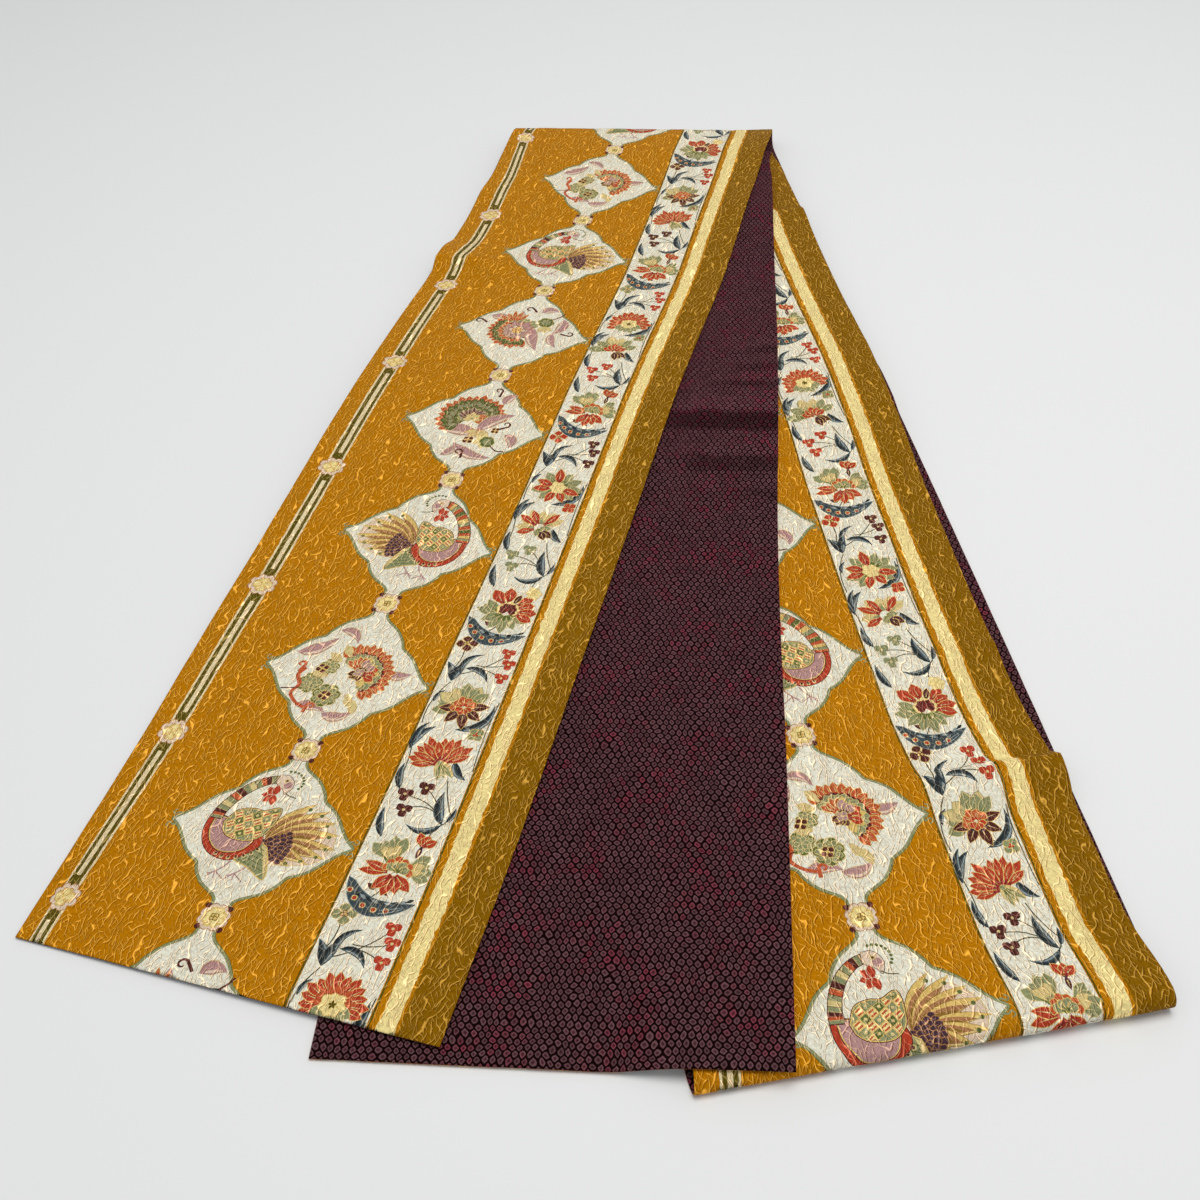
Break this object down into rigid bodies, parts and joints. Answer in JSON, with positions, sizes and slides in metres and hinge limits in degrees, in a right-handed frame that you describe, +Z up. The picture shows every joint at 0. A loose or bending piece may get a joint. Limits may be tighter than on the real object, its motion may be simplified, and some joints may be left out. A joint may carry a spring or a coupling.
{
  "type": "obi sash",
  "caption": "Full-width reversible obi sash, brocade face and spotted back, folded to and fro and fanned out flat on a surface.",
  "frame": {"origin": "centre of the folded sash's footprint, on the surface that it lies on", "axes": "+Z up from the surface, +Y along the stretches from the loose ends to the far folds, +X to the right, towards the under stretch"},
  "size_m": [0.758, 1.2312, 0.0273],
  "materials": {
    "ochre_brocade": "crinkled silk brocade, soft sheen",
    "plum_weave": "figured silk weave, soft sheen"
  },
  "bodies": {
    "root": {"left_stretch_face": "ochre_brocade", "left_stretch_back": "plum_weave", "centre_stretch_face": "ochre_brocade", "centre_stretch_back": "plum_weave", "right_stretch_face": "ochre_brocade", "right_stretch_back": "plum_weave", "under_stretch_face": "ochre_brocade", "under_stretch_back": "plum_weave"}
  },
  "joints": []
}
